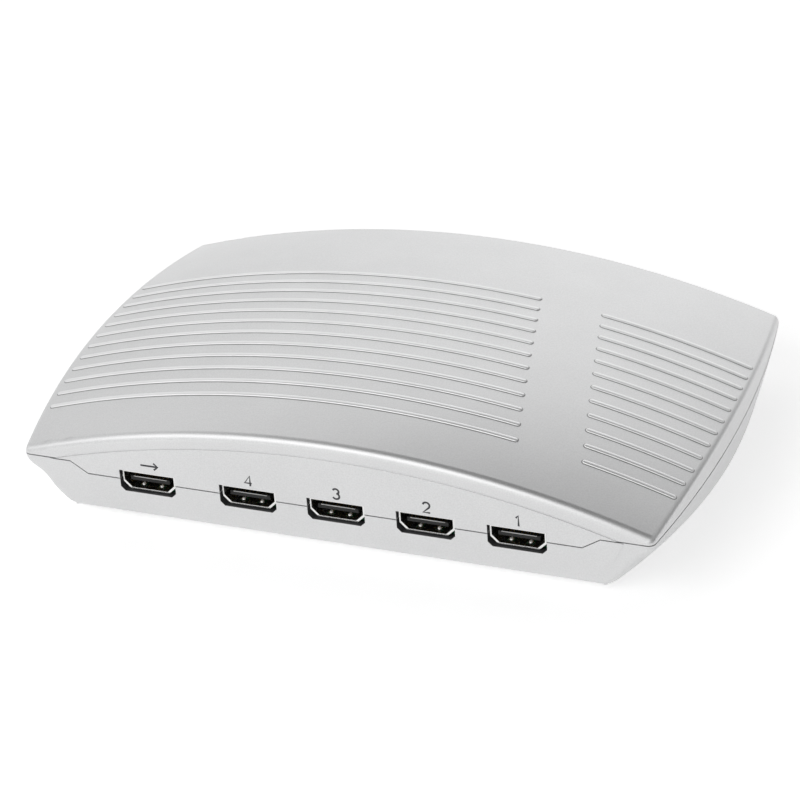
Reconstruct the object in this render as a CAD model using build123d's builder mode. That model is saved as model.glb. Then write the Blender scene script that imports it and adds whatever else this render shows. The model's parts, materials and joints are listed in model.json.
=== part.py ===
from build123d import *
from math import asin, cos, degrees, sin, sqrt
import os

# A box that switches one of four HDMI inputs to one output.
# X runs along the row of sockets, the sockets face -Y, the user's controls face +Y and Z is up.
# The origin is on the table under the middle of the case. All lengths are in millimetres.

os.makedirs("parts", exist_ok=True)

# Case, outside. Heights are above the underside of the case.
case_depth = 116.8
parting_width = 171.0
parting_bow_share = 0.0411
base_width_share = 0.8561
base_bow_share = 0.1062
seam_low = 10.9
seam_high = 14.0
seam_low_inset = 5.9
seam_high_inset = 1.1
corner_height = 15.5
arch_rise = 14.0
crown_rise = 5.75
corner_radius = 2.0
rim_radius = 2.5
base_edge_bevel = 0.5
overrun = 5.0

# Each end's side runs from the base's edge to the parting line: an S at the corners, nearly
# upright at mid depth. The pairs are shares of the way out and of the way up.
corner_side_shares = ((0.34, 0.30), (0.65, 0.64))
middle_side_shares = ((0.60, 0.32), (0.97, 0.66))

# Case, mouldings
wall = 2.2
shadow_gap = 0.3
lip_height = 1.5
lip_thickness = 0.9
lip_clearance = 0.1

# Raised panel on each long face
panel_proud = 0.3
panel_below_rim = 4.1
panel_above_base = 3.2
panel_foot_inset = 1.8
panel_waist_outset = 2.0
panel_waist_height = 7.6
panel_top_inset = 7.5

# Raised beads across the top, in a long group and a short group beside a plain slanting band.
# Their places along the depth are shares of the half depth, and the band's are shares of the width.
bead_count = 12
bead_pitch_share = 0.0983
bead_first_share = 0.3666
bead_width = 1.3
bead_height = 0.45
bead_crest_width = 0.6
bead_root_depth = 0.5
bead_left_inset = 2.6
bead_right_inset = 1.4
band_left_share = 0.1801
band_width_share = 0.0977
band_slant_share = 0.237

# Rubber feet
foot_radius = 6.0
foot_stand = 1.5
foot_recess = 0.8
foot_clearance = 0.2
foot_side_inset = 13.2
foot_face_inset = 14.1

# Screws that hold the case together, and the posts that they run through
case_screw_inset = 7.2
case_screw_y_share = 0.516
post_radius = 4.0
boss_radius = 3.5
post_height = 9.0
screw_seat_height = 5.0
screw_head_radius = 2.75
screw_head_height = 1.9
screw_shank_radius = 1.45
screw_length = 13.0
screw_slot_width = 0.9
screw_slot_depth = 0.8
head_clearance = 0.35
shank_clearance = 0.2
thread_clearance = 0.05
pilot_depth = 11.0

# Circuit board
board_thickness = 1.6
board_side_gap = 2.0
board_rear_gap = 0.8
board_front_gap = 2.4
board_tab_gap = 4.8
board_tab_half = 10.0
board_corner = 1.0
standoff_radius = 3.0
standoff_side_inset = 6.0
standoff_rear_inset = 19.1
standoff_front_inset = 9.5
board_screw_head_radius = 2.3
board_screw_head_height = 1.7
board_screw_shank_radius = 1.2
board_screw_length = 5.0
board_pilot_depth = 3.7
board_hole_clearance = 0.2

# HDMI sockets, type A: the mouth's standard size and the parts round it
mouth_width = 14.0
mouth_height = 4.55
mouth_bevel = 2.0
mouth_centre_height = 10.45
mouth_recess = 1.0
socket_sheet = 0.4
socket_depth = 11.5
cavity_depth = 8.0
insulator_depth = 1.2
insulator_clearance = 0.05
socket_edge_inset = 9.65
input_pitch_share = 0.2403
case_opening_gap = 0.4
case_opening_bevel = 1.2
rear_flap_gap = 1.2
shell_leg_width = 1.2
shell_leg_front = 2.9
shell_leg_rear = 8.9
leg_below_board = 0.8
leg_slot_clearance = 0.2
tab_offset = 2.55
tab_width = 1.4
tab_slot_gap = 0.25
tab_start = 1.2
tab_crest = 2.3
tab_end = 5.2
tab_rise = 0.45
tab_sheet = 0.25
tongue_width = 11.0
tongue_thickness = 1.2
tongue_below_roof = 1.5
tongue_recess = 0.7
contact_pitch = 1.0
contact_width = 0.4
contact_sheet = 0.15
contact_room = 0.3
contact_front = 0.4
upper_contact_drop = 10.6
lower_contact_drop = 9.6
upper_contact_count = 10
lower_contact_count = 9

# Select button on the user's face
button_edge_inset = 20.0
button_width = 12.0
button_height = 6.0
button_corner = 2.0
button_gap = 0.3
flange_overhang = 1.2
flange_thickness = 1.0
flange_gap = 0.1
stem_radius = 2.0

# Push switch behind the button
switch_width = 6.2
switch_depth = 3.6
switch_height = 6.4
switch_front_gap = 0.5
plunger_radius = 1.7
plunger_stand = 1.2
plunger_clearance = 0.3
plunger_collar_radius = 2.2
plunger_collar_thickness = 0.5
switch_front_wall = 0.8
switch_room_depth = 2.2
switch_leg_width = 0.8
switch_leg_sheet = 0.3
switch_leg_spacing = 4.5

# Indicator lamps
lamp_radius = 1.5
lamp_length = 5.3
lamp_tip_recess = 0.2
lamp_flange_radius = 1.9
lamp_flange_thickness = 1.0
lamp_hole_gap = 0.2
lamp_pitch_share = 0.1667
lamp_count = 4
power_lamp_share = 0.5333
holder_width = 4.8
holder_depth = 4.5
holder_above_axis = 2.4
holder_clearance = 0.05
lamp_leg_spacing = 2.54
lamp_leg_size = 0.5
lamp_leg_run = 1.6

# Remote control window and receiver
window_edge_inset = 10.0
window_width = 11.0
window_height = 6.0
window_corner = 0.8
window_gap = 0.1
receiver_width = 6.0
receiver_depth = 3.8
receiver_height = 6.0
receiver_stand = 0.6
receiver_front_gap = 0.5
receiver_lens_radius = 2.4
receiver_lens_rise = 1.0
receiver_lens_taper = 20
receiver_leg_spacing = 2.0
receiver_leg_size = 0.5

# Power jack at the left end
jack_width = 9.0
jack_length = 14.0
jack_height = 10.6
jack_axis_height = 6.4
jack_face_gap = 3.8
jack_collar_radius = 4.0
jack_collar_length = 3.0
jack_collar_clearance = 0.3
jack_bore_radius = 3.15
jack_bore_depth = 10.5
jack_pin_radius = 1.0
jack_pin_root_radius = 1.4
jack_pin_length = 9.0
jack_pin_nose = 0.4
jack_fit = 0.05
jack_terminal_width = 2.6
jack_terminal_sheet = 0.6
jack_leaf_sheet = 0.3
jack_leaf_width = 2.4
jack_leaf_length = 7.0
jack_leaf_leg_inset = 1.0

# Parts on the board, placed by shares of its half width and of the case's half depth, or by
# insets from its sides
chip_x_share = 0.133
chip_y_share = -0.241
chip_size = 14.0
chip_thickness = 1.4
chip_stand = 0.1
chip_pins_per_side = 16
chip_pin_pitch = 0.8
chip_pin_width = 0.35
pin_reach = 1.0
pin_sheet = 0.25
control_x_share = 0.5
control_y_share = 0.413
control_length = 12.8
control_width = 7.5
control_thickness = 2.3
control_pins_per_side = 10
control_pin_pitch = 1.27
small_pin_width = 0.4
memory_y_share = -0.62
memory_length = 4.9
memory_width = 3.9
memory_thickness = 1.5
memory_pins_per_side = 4
regulator_side_inset = 8.0
regulator_y_share = 0.207
regulator_length = 6.5
regulator_width = 3.5
regulator_thickness = 1.6
regulator_pin_pitch = 2.3
regulator_pin_count = 3
regulator_pin_width = 0.7
regulator_tab_width = 3.0
crystal_length = 11.0
crystal_width = 4.6
crystal_height = 3.6
crystal_brim = 0.4
capacitor_gap = 2.75
capacitor_pitch = 12.0
capacitor_radius = 4.0
capacitor_height = 11.5
ceramic_y_share = -0.465
ceramic_length = 2.0
ceramic_width = 1.25
ceramic_height = 0.9
ceramic_pitch = 6.0
ceramic_count = 10
resistor_y_share = 0.62
resistor_length = 1.6
resistor_width = 0.8
resistor_height = 0.45
resistor_pitch = 5.0
resistor_count = 12

# Heights and planes that follow from the sizes above
case_z = foot_stand
floor_z = case_z + wall
seam_low_z = case_z + seam_low
seam_high_z = case_z + seam_high
face_half = case_depth / 2 - panel_proud
arch_half = parting_width / 2
parting_bow = case_depth * parting_bow_share
base_bow = case_depth * base_bow_share
base_half = arch_half * base_width_share
seam_low_half = base_half - seam_low_inset
seam_high_half = base_half - seam_high_inset
arch_radius = (arch_half**2 + arch_rise**2) / (2 * arch_rise)
arch_axis_z = case_z + corner_height + arch_rise - arch_radius
crown_radius = (face_half**2 + crown_rise**2) / (2 * crown_rise)
top_z = case_z + corner_height + arch_rise + crown_rise
ceiling_z = top_z + overrun
end_half = arch_half + parting_bow
reach = end_half + overrun
mouth_y = -case_depth / 2 + mouth_recess
mouth_z = case_z + mouth_centre_height
board_top_z = mouth_z - mouth_height / 2 - socket_sheet
board_z = board_top_z - board_thickness
board_rear_y = -face_half + wall + board_rear_gap
control_z = seam_low_z
front_y = case_depth / 2
front_wall_y = face_half - wall
board_front_y = front_wall_y - board_front_gap
case_screw_x = base_half - case_screw_inset
case_screw_y = face_half * case_screw_y_share
foot_x = base_half - foot_side_inset
foot_y = face_half - foot_face_inset
board_half_width = case_screw_x - post_radius - board_side_gap
board_tab_x = end_half - board_tab_gap
jack_face_x = end_half - jack_face_gap
standoff_x = board_half_width - standoff_side_inset
button_x = -board_half_width + button_edge_inset
window_x = board_half_width - window_edge_inset
lamp_pitch = board_half_width * lamp_pitch_share
chip_x = board_half_width * chip_x_share
control_x = board_half_width * control_x_share
regulator_x = -board_half_width + regulator_side_inset
capacitor_x = regulator_x + regulator_length / 2 + capacitor_gap + capacitor_radius
chip_y = face_half * chip_y_share
control_y = face_half * control_y_share
memory_y = face_half * memory_y_share
regulator_y = face_half * regulator_y_share
ceramic_y = face_half * ceramic_y_share
resistor_y = face_half * resistor_y_share
post_top_z = case_z + post_height
arch_axis = Axis((0, 0, arch_axis_z), (0, 1, 0))

# Socket places: the output stands apart from the row of four inputs
input_names = ("in1", "in2", "in3", "in4")
row_half = board_half_width - socket_edge_inset
input_pitch = 2 * row_half * input_pitch_share
socket_places = {"out": -row_half}
for place, name in enumerate(input_names):
    socket_places[name] = row_half - place * input_pitch
lamp_places = [(place - (lamp_count - 1) / 2) * lamp_pitch for place in range(lamp_count)]
lamp_places.append(board_half_width * power_lamp_share)
case_screw_places = [(x, y) for x in (-case_screw_x, case_screw_x) for y in (-case_screw_y, case_screw_y)]
standoff_rows = (board_rear_y + standoff_rear_inset, board_front_y - standoff_front_inset)
standoff_places = [(x, y) for x in (-standoff_x, standoff_x) for y in standoff_rows]
foot_places = [(x, y) for x in (-foot_x, foot_x) for y in (-foot_y, foot_y)]


def save(part, name):
    """Labels a finished piece and writes its file."""
    part.label = name
    export_step(part, f"parts/{name}.step")


def crown_z(y):
    """Height of the top's ridge at a depth."""
    return top_z - crown_radius + sqrt(crown_radius**2 - y**2)


def case_solid(inset):
    """The case's outer form with its long rims, or the form drawn in by an inset, in plain facets."""
    low_z = case_z + inset
    half = face_half - inset
    foot_half = base_half - inset
    side_half = arch_half - inset
    stations = (
        (-half, foot_half, side_half, corner_side_shares),
        (0, foot_half + base_bow, side_half + parting_bow, middle_side_shares),
        (half, foot_half, side_half, corner_side_shares),
    )
    ridge_z = 2 * arch_axis_z - top_z + inset
    eaves_z = 2 * arch_axis_z - crown_z(half) + inset
    with BuildPart() as solid:
        for y, foot, side, shares in stations:
            out = side - foot
            up = seam_high_z - low_z
            bends = [(foot + across * out, low_z + rise * up) for across, rise in shares]
            with BuildSketch(Plane.XZ.offset(-y)):
                with BuildLine():
                    Polyline((0, low_z - overrun), (foot, low_z - overrun), (foot, low_z))
                    if inset:
                        Polyline((foot, low_z), *bends, (side, seam_high_z))
                    else:
                        Spline((foot, low_z), *bends, (side, seam_high_z), tangents=((out, up), (0, up)))
                    Polyline((side, seam_high_z), (side, ceiling_z), (0, ceiling_z))
                    mirror(about=Plane.YZ)
                make_face()
        loft()
        split(bisect_by=Plane.XY.offset(low_z))
        # The top is part of a barrel that lies along Y, arched across it and crowned along it
        with BuildSketch(Plane.YZ):
            with BuildLine():
                Polyline((-half, eaves_z), (-half, arch_axis_z), (half, arch_axis_z), (half, eaves_z))
                if inset:
                    slope_z = 2 * arch_axis_z - crown_z(half / 2) + inset
                    Polyline((half, eaves_z), (half / 2, slope_z), (0, ridge_z))
                    Polyline((0, ridge_z), (-half / 2, slope_z), (-half, eaves_z))
                else:
                    ThreePointArc((half, eaves_z), (0, ridge_z), (-half, eaves_z))
            make_face()
            if not inset:
                fillet(vertices().group_by(Axis.Y)[0], rim_radius)
        revolve(axis=arch_axis, mode=Mode.INTERSECT)
    return solid.part


def beside_seam(shift, limit_z):
    """All the space between the parting line, moved by a shift, and a level."""
    with BuildPart() as space:
        with BuildSketch(Plane.XZ):
            with BuildLine():
                Polyline(
                    (-reach, limit_z),
                    (-reach, seam_high_z + shift),
                    (-seam_high_half, seam_high_z + shift),
                    (-seam_low_half, seam_low_z + shift),
                    (seam_low_half, seam_low_z + shift),
                    (seam_high_half, seam_high_z + shift),
                    (reach, seam_high_z + shift),
                    (reach, limit_z),
                    close=True,
                )
            make_face()
        extrude(amount=case_depth, both=True)
    return space.part


def mouth_corners(outset, bevel):
    """Corners of a socket's mouth outline, moved out by an outset."""
    half = mouth_width / 2 + outset
    high = mouth_height / 2 + outset
    return (
        (-half, high),
        (-half, bevel - high),
        (bevel - half, -high),
        (half - bevel, -high),
        (half, bevel - high),
        (half, high),
    )


def socket_plane(x, depth):
    """The plane across a socket at a depth behind its mouth. It faces out of the mouth."""
    return Plane(origin=(x, mouth_y + depth, mouth_z), x_dir=(1, 0, 0), z_dir=(0, -1, 0))


def control_plane(x, y):
    """The plane across a control's axis at a depth. It faces the user."""
    return Plane(origin=(x, y, control_z), x_dir=(-1, 0, 0), z_dir=(0, 1, 0))


# Case envelope with its raised panels, rounded corners and rims
with BuildPart() as envelope:
    add(case_solid(0))
    chamfer(faces().sort_by(Axis.Z)[0].edges(), base_edge_bevel)
    ends = edges().filter_by(lambda edge: abs(edge.center().X) > base_half)
    rims = ends.filter_by(lambda edge: edge.center().Z > seam_high_z)
    corners = ends.filter_by(lambda edge: abs(edge.center().Y) > face_half - overrun)
    sides = corners.filter_by(lambda edge: case_z + base_edge_bevel < edge.center().Z < seam_high_z)
    fillet(rims + sides, corner_radius)
    panel_foot_half = base_half - panel_foot_inset
    panel_waist_half = base_half + panel_waist_outset
    panel_top_half = arch_half - panel_top_inset
    panel_arc_radius = arch_radius - panel_below_rim
    panel_arc_top = arch_axis_z + panel_arc_radius
    panel_arc_end = arch_axis_z + sqrt(panel_arc_radius**2 - panel_top_half**2)
    for side in (-1, 1):
        with BuildSketch(Plane.XZ.offset(-side * face_half)):
            with BuildLine():
                Polyline(
                    (-panel_top_half, panel_arc_end),
                    (-panel_waist_half, case_z + panel_waist_height),
                    (-panel_foot_half, case_z + panel_above_base),
                    (panel_foot_half, case_z + panel_above_base),
                    (panel_waist_half, case_z + panel_waist_height),
                    (panel_top_half, panel_arc_end),
                )
                ThreePointArc((panel_top_half, panel_arc_end), (0, panel_arc_top), (-panel_top_half, panel_arc_end))
            make_face()
        extrude(amount=-side * panel_proud)

# Inside faces: the hollow, the lip's outer face and the rebate that takes it
hollow = case_solid(wall)
lip_form = case_solid(wall - lip_thickness)
rebate_form = case_solid(wall - lip_thickness - lip_clearance)

# Openings through the walls, cut in both halves of the case
with BuildPart() as openings:
    for x in socket_places.values():
        with BuildSketch(socket_plane(x, -mouth_recess - overrun)):
            Polygon(*mouth_corners(socket_sheet + case_opening_gap, case_opening_bevel), align=None)
        extrude(amount=-(overrun + mouth_recess + panel_proud + wall + overrun))
    with BuildSketch(control_plane(button_x, front_wall_y - overrun)):
        RectangleRounded(button_width + 2 * button_gap, button_height + 2 * button_gap, button_corner + button_gap)
    extrude(amount=wall + panel_proud + 2 * overrun)
    with BuildSketch(control_plane(window_x, front_wall_y - overrun)):
        RectangleRounded(window_width + 2 * window_gap, window_height + 2 * window_gap, window_corner + window_gap)
    extrude(amount=wall + panel_proud + 2 * overrun)
    for x in lamp_places:
        with BuildSketch(control_plane(x, front_wall_y - overrun)):
            Circle(lamp_radius + lamp_hole_gap)
        extrude(amount=wall + panel_proud + 2 * overrun)
    with BuildSketch(Plane.YZ.offset(-jack_face_x)):
        with Locations((0, board_top_z + jack_axis_height)):
            Circle(jack_collar_radius + jack_collar_clearance)
    extrude(amount=-(jack_collar_length + overrun))

# Beads across the top: each is an arc about the barrel's axis, with its root sunk in the surface
with BuildPart() as beads:
    for row in range(bead_count):
        y = face_half * (bead_first_share - row * bead_pitch_share)
        surface_radius = crown_z(y) - arch_axis_z
        edge_x = arch_half + parting_bow * (1 - (y / face_half)**2)
        band_x = parting_width * band_left_share + band_slant_share * (face_half * bead_first_share - y)
        band_end_x = band_x + parting_width * band_width_share
        spans = ((bead_left_inset - edge_x, band_x), (band_end_x, edge_x - bead_right_inset))
        for start_x, end_x in spans:
            start = asin(start_x / surface_radius)
            turn = asin(end_x / surface_radius) - start
            across = Plane(origin=(0, 0, arch_axis_z), x_dir=(0, 1, 0), z_dir=(cos(start), 0, -sin(start)))
            with BuildSketch(across):
                Polygon(
                    (y - bead_width / 2, surface_radius - bead_root_depth),
                    (y + bead_width / 2, surface_radius - bead_root_depth),
                    (y + bead_width / 2, surface_radius),
                    (y + bead_crest_width / 2, surface_radius + bead_height),
                    (y - bead_crest_width / 2, surface_radius + bead_height),
                    (y - bead_width / 2, surface_radius),
                    align=None,
                )
            revolve(axis=arch_axis, revolution_arc=degrees(turn))

# Upper shell
with BuildPart() as upper_shell:
    add(envelope.part)
    add(beside_seam(shadow_gap / 2, ceiling_z), mode=Mode.INTERSECT)
    add(hollow, mode=Mode.SUBTRACT)
    with BuildPart(mode=Mode.PRIVATE) as rebate:
        add(rebate_form)
        add(beside_seam(shadow_gap / 2 + lip_height + lip_clearance, case_z), mode=Mode.INTERSECT)
    add(rebate.part, mode=Mode.SUBTRACT)
    with BuildPart(mode=Mode.PRIVATE) as bosses:
        with BuildSketch(Plane.XY.offset(post_top_z)):
            with Locations(*case_screw_places):
                Circle(boss_radius)
        extrude(amount=ceiling_z - post_top_z)
        add(lip_form, mode=Mode.INTERSECT)
    add(bosses.part)
    with BuildSketch(Plane.XY.offset(post_top_z)):
        with Locations(*case_screw_places):
            Circle(screw_shank_radius + thread_clearance)
    extrude(amount=pilot_depth, mode=Mode.SUBTRACT)
    add(beads.part)
    add(openings.part, mode=Mode.SUBTRACT)
save(upper_shell.part, "upper_shell")

# Lower shell
with BuildPart() as lower_shell:
    add(envelope.part)
    add(beside_seam(-shadow_gap / 2, case_z - overrun), mode=Mode.INTERSECT)
    with BuildPart(mode=Mode.PRIVATE) as lip:
        add(lip_form)
        add(beside_seam(shadow_gap / 2 + lip_height, case_z), mode=Mode.INTERSECT)
        add(beside_seam(-shadow_gap / 2 - lip_height, ceiling_z), mode=Mode.INTERSECT)
    add(lip.part)
    add(hollow, mode=Mode.SUBTRACT)
    with BuildSketch(Plane.XY.offset(floor_z - wall / 2)):
        with Locations(*case_screw_places):
            Circle(post_radius)
    extrude(amount=post_top_z - floor_z + wall / 2)
    with BuildSketch(Plane.XY.offset(floor_z - wall / 2)):
        with Locations(*standoff_places):
            Circle(standoff_radius)
    extrude(amount=board_z - floor_z + wall / 2)
    with BuildSketch(Plane.XY.offset(case_z - overrun)):
        with Locations(*case_screw_places):
            Circle(screw_head_radius + head_clearance)
    extrude(amount=overrun + screw_seat_height, mode=Mode.SUBTRACT)
    with BuildSketch(Plane.XY.offset(case_z)):
        with Locations(*case_screw_places):
            Circle(screw_shank_radius + shank_clearance)
    extrude(amount=post_height + overrun, mode=Mode.SUBTRACT)
    with BuildSketch(Plane.XY.offset(board_z)):
        with Locations(*standoff_places):
            Circle(board_screw_shank_radius + thread_clearance)
    extrude(amount=-board_pilot_depth, mode=Mode.SUBTRACT)
    with BuildSketch(Plane.XY.offset(case_z - overrun)):
        with Locations(*foot_places):
            Circle(foot_radius + foot_clearance)
    extrude(amount=overrun + foot_recess, mode=Mode.SUBTRACT)
    add(openings.part, mode=Mode.SUBTRACT)
save(lower_shell.part, "lower_shell")

# Rubber feet
with BuildPart() as rubber_feet:
    with BuildSketch():
        with Locations(*foot_places):
            Circle(foot_radius)
    extrude(amount=foot_stand + foot_recess)
save(rubber_feet.part, "rubber_feet")

# Screws that hold the case together, driven from below
with BuildPart() as case_screws:
    seat_z = case_z + screw_seat_height
    with BuildSketch(Plane.XY.offset(seat_z)):
        with Locations(*case_screw_places):
            Circle(screw_head_radius)
    extrude(amount=-screw_head_height)
    with BuildSketch(Plane.XY.offset(seat_z)):
        with Locations(*case_screw_places):
            Circle(screw_shank_radius)
    extrude(amount=screw_length)
    with BuildSketch(Plane.XY.offset(seat_z - screw_head_height)):
        with Locations(*case_screw_places):
            Rectangle(2 * screw_shank_radius, screw_slot_width)
            Rectangle(screw_slot_width, 2 * screw_shank_radius)
    extrude(amount=screw_slot_depth, mode=Mode.SUBTRACT)
save(case_screws.part, "case_screws")

# Screws that hold the board
with BuildPart() as board_screws:
    with BuildSketch(Plane.XY.offset(board_top_z)):
        with Locations(*standoff_places):
            Circle(board_screw_head_radius)
    extrude(amount=board_screw_head_height)
    with BuildSketch(Plane.XY.offset(board_top_z)):
        with Locations(*standoff_places):
            Circle(board_screw_shank_radius)
    extrude(amount=-board_screw_length)
save(board_screws.part, "board_screws")

# Places of the legs that go through the board, used for the legs and for their holes
shell_leg_x = (mouth_width + socket_sheet) / 2
shell_leg_places = [
    (x + side * shell_leg_x, mouth_y + depth)
    for x in socket_places.values()
    for side in (-1, 1)
    for depth in (shell_leg_front, shell_leg_rear)
]
switch_front_y = board_front_y - switch_front_gap
switch_leg_y = switch_front_y - switch_depth / 2
switch_leg_places = [(button_x + side * switch_leg_spacing / 2, switch_leg_y) for side in (-1, 1)]
lamp_tip_y = front_y - lamp_tip_recess
lamp_flange_y = lamp_tip_y - lamp_length
lamp_leg_y = lamp_flange_y - lamp_flange_thickness - lamp_leg_run
lamp_leg_places = [(x + side * lamp_leg_spacing / 2, lamp_leg_y) for x in lamp_places for side in (-1, 1)]
receiver_front_y = board_front_y - receiver_front_gap
receiver_leg_y = receiver_front_y - receiver_depth / 2
receiver_leg_places = [(window_x + side * receiver_leg_spacing, receiver_leg_y) for side in (-1, 0, 1)]
jack_rear_x = -jack_face_x + jack_length
pin_terminal_x = jack_rear_x + jack_terminal_sheet / 2
leaf_leg_x = -jack_face_x + jack_bore_depth - jack_leaf_leg_inset

# Circuit board
with BuildPart() as circuit_board:
    with BuildSketch(Plane.XY.offset(board_z)):
        with BuildLine():
            Polyline(
                (-board_half_width, board_rear_y),
                (board_half_width, board_rear_y),
                (board_half_width, board_front_y),
                (-board_half_width, board_front_y),
                (-board_half_width, board_tab_half),
                (-board_tab_x, board_tab_half),
                (-board_tab_x, -board_tab_half),
                (-board_half_width, -board_tab_half),
                close=True,
            )
        make_face()
        fillet(vertices(), board_corner)
        with Locations(*standoff_places):
            Circle(board_screw_shank_radius + board_hole_clearance, mode=Mode.SUBTRACT)
        with Locations(*shell_leg_places):
            slot_width = socket_sheet + 2 * leg_slot_clearance
            Rectangle(slot_width, shell_leg_width + 2 * leg_slot_clearance, mode=Mode.SUBTRACT)
        with Locations(*switch_leg_places):
            slot_width = switch_leg_width + 2 * leg_slot_clearance
            Rectangle(slot_width, switch_leg_sheet + 2 * leg_slot_clearance, mode=Mode.SUBTRACT)
        with Locations(*lamp_leg_places):
            slot_width = lamp_leg_size + 2 * leg_slot_clearance
            Rectangle(slot_width, slot_width, mode=Mode.SUBTRACT)
        with Locations(*receiver_leg_places):
            slot_width = receiver_leg_size + 2 * leg_slot_clearance
            Rectangle(slot_width, slot_width, mode=Mode.SUBTRACT)
        with Locations((pin_terminal_x, 0)):
            slot_width = jack_terminal_sheet + 2 * leg_slot_clearance
            Rectangle(slot_width, jack_terminal_width + 2 * leg_slot_clearance, mode=Mode.SUBTRACT)
        with Locations((leaf_leg_x, 0)):
            slot_width = jack_leaf_sheet + 2 * leg_slot_clearance
            Rectangle(slot_width, jack_leaf_width + 2 * leg_slot_clearance, mode=Mode.SUBTRACT)
    extrude(amount=board_thickness)
save(circuit_board.part, "circuit_board")

# Heights in a socket, from its centre plane
roof_in = mouth_height / 2
tongue_top = roof_in - tongue_below_roof
tongue_low = tongue_top - tongue_thickness
floor_in = -mouth_height / 2


def socket_shell(x):
    """The folded sheet-metal shell of the socket at x."""
    with BuildPart() as shell:
        with BuildSketch(socket_plane(x, 0)):
            Polygon(*mouth_corners(socket_sheet, mouth_bevel), align=None)
        extrude(amount=-socket_depth)
        with BuildSketch(socket_plane(x, -overrun)):
            Polygon(*mouth_corners(0, mouth_bevel), align=None)
        extrude(amount=-(overrun + socket_depth - socket_sheet), mode=Mode.SUBTRACT)
        # The rear stays open below the folded flap, for the contacts' tails
        with BuildSketch(socket_plane(x, socket_depth - overrun)):
            with Locations((0, floor_in - socket_sheet + rear_flap_gap / 2)):
                Rectangle(mouth_width - 2 * mouth_bevel, rear_flap_gap)
        extrude(amount=-2 * overrun, mode=Mode.SUBTRACT)
        # Legs on both sides go through the board
        leg_end = board_z - leg_below_board
        with BuildSketch(Plane.XY.offset(leg_end)):
            with Locations(*[(px, py) for px, py in shell_leg_places if abs(px - x) < mouth_width]):
                Rectangle(socket_sheet, shell_leg_width)
        extrude(amount=mouth_z - leg_end)
        # Spring tabs in windows of the floor
        for side in (-1, 1):
            middle = side * tab_offset
            with BuildSketch(Plane.XY.offset(board_top_z)):
                with Locations((x + middle, mouth_y + (tab_start + tab_end) / 2)):
                    Rectangle(tab_width + 2 * tab_slot_gap, tab_end - tab_start)
            extrude(amount=socket_sheet, mode=Mode.SUBTRACT)
            tab_z = mouth_z + floor_in
            with BuildSketch(Plane.YZ.offset(x + middle)):
                with BuildLine():
                    Polyline(
                        (mouth_y + tab_end + socket_sheet, tab_z),
                        (mouth_y + tab_end, tab_z),
                        (mouth_y + tab_crest, tab_z + tab_rise),
                        (mouth_y + tab_start + tab_slot_gap, tab_z),
                        (mouth_y + tab_start + tab_slot_gap, tab_z - tab_sheet),
                        (mouth_y + tab_crest, tab_z + tab_rise - tab_sheet),
                        (mouth_y + tab_end, tab_z - tab_sheet),
                        (mouth_y + tab_end + socket_sheet, tab_z - tab_sheet),
                        close=True,
                    )
                make_face()
            extrude(amount=tab_width / 2, both=True)
    return shell.part


def contact_rows():
    """The two rows of contacts: count, upper face or lower face, height and depth of the drop."""
    return (
        (upper_contact_count, tongue_top - contact_sheet, upper_contact_drop),
        (lower_contact_count, tongue_low, lower_contact_drop),
    )


def socket_insulator(x):
    """The moulded block and tongue of the socket at x, recessed for its two rows of contacts."""
    with BuildPart() as insulator:
        with BuildSketch(socket_plane(x, cavity_depth)):
            Polygon(*mouth_corners(-insulator_clearance, mouth_bevel), align=None)
        extrude(amount=-insulator_depth)
        with BuildSketch(socket_plane(x, tongue_recess)):
            with Locations((0, (tongue_top + tongue_low) / 2)):
                Rectangle(tongue_width, tongue_thickness)
        extrude(amount=tongue_recess - cavity_depth)
        for count, low, drop in contact_rows():
            with BuildSketch(socket_plane(x, tongue_recess + contact_front)):
                with Locations((0, low + contact_sheet / 2)):
                    Rectangle((count - 1) * contact_pitch + contact_width + 2 * contact_room, contact_sheet)
            extrude(amount=-socket_depth, mode=Mode.SUBTRACT)
    return insulator.part


def socket_contacts(x):
    """The contacts of the socket at x: strips along the tongue that drop to the board behind it."""
    with BuildPart() as contacts:
        for count, low, drop in contact_rows():
            start_y = mouth_y + tongue_recess + contact_front
            drop_y = mouth_y + drop
            strip_z = mouth_z + low
            for place in range(count):
                middle = x + (place - (count - 1) / 2) * contact_pitch
                with BuildSketch(Plane.YZ.offset(middle)):
                    with BuildLine():
                        Polyline(
                            (start_y, strip_z + contact_sheet),
                            (start_y, strip_z),
                            (drop_y - contact_sheet, strip_z),
                            (drop_y - contact_sheet, board_top_z),
                            (drop_y, board_top_z),
                            (drop_y, strip_z + contact_sheet),
                            close=True,
                        )
                    make_face()
                extrude(amount=contact_width / 2, both=True)
    return contacts.part


for name, x in socket_places.items():
    save(socket_shell(x), f"socket_{name}_shell")
    save(socket_insulator(x), f"socket_{name}_insulator")
    save(socket_contacts(x), f"socket_{name}_contacts")

# Select button: cap, retaining flange and stem
flange_front_y = front_wall_y - flange_gap
plunger_face_y = switch_front_y + plunger_stand
with BuildPart() as select_button:
    with BuildSketch(control_plane(button_x, flange_front_y)):
        RectangleRounded(button_width, button_height, button_corner)
    extrude(amount=front_y - flange_front_y)
    with BuildSketch(control_plane(button_x, flange_front_y)):
        flange_corner = button_corner + flange_overhang
        RectangleRounded(button_width + 2 * flange_overhang, button_height + 2 * flange_overhang, flange_corner)
    extrude(amount=-flange_thickness)
    with BuildSketch(control_plane(button_x, plunger_face_y)):
        Circle(stem_radius)
    extrude(amount=flange_front_y - plunger_face_y)
save(select_button.part, "select_button")

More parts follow.
